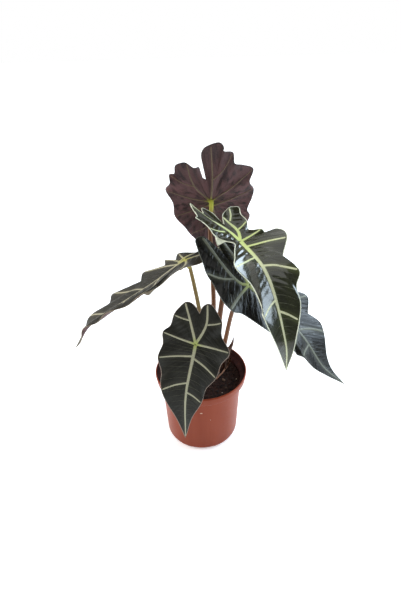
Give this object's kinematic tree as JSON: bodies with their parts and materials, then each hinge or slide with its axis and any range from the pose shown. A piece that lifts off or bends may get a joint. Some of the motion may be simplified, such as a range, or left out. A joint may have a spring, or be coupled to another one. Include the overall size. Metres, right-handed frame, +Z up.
{
  "type": "potted alocasia",
  "caption": "Potted alocasia with dark, pale-veined arrow-shaped leaves on long stalks, standing in a round terracotta-coloured plastic nursery pot filled with soil.",
  "frame": {"origin": "middle of the pot's underside, on the surface it stands on", "axes": "+Z up, -Y towards the front, where the lowest leaf hangs over the rim, +X to the right of someone facing that leaf"},
  "size_m": [0.3026, 0.1893, 0.3866],
  "materials": {
    "pot_plastic": "satin",
    "soil": "matte",
    "corm_bark": "matte",
    "olive_stalk": "satin",
    "brown_stalk": "satin",
    "leaf": "satin",
    "withered": "matte"
  },
  "bodies": {
    "root": {"pot": "pot_plastic", "soil": "soil", "corm": "corm_bark", "stalk_front": "brown_stalk", "stalk_left": "olive_stalk", "stalk_back": "brown_stalk", "stalk_right": "brown_stalk", "stalk_side": "brown_stalk", "blade_front": "leaf", "blade_left": "leaf", "blade_back": "leaf", "blade_right": "leaf", "blade_side": "leaf", "dry_sheath": "withered", "dead_stalk": "withered"}
  },
  "joints": []
}
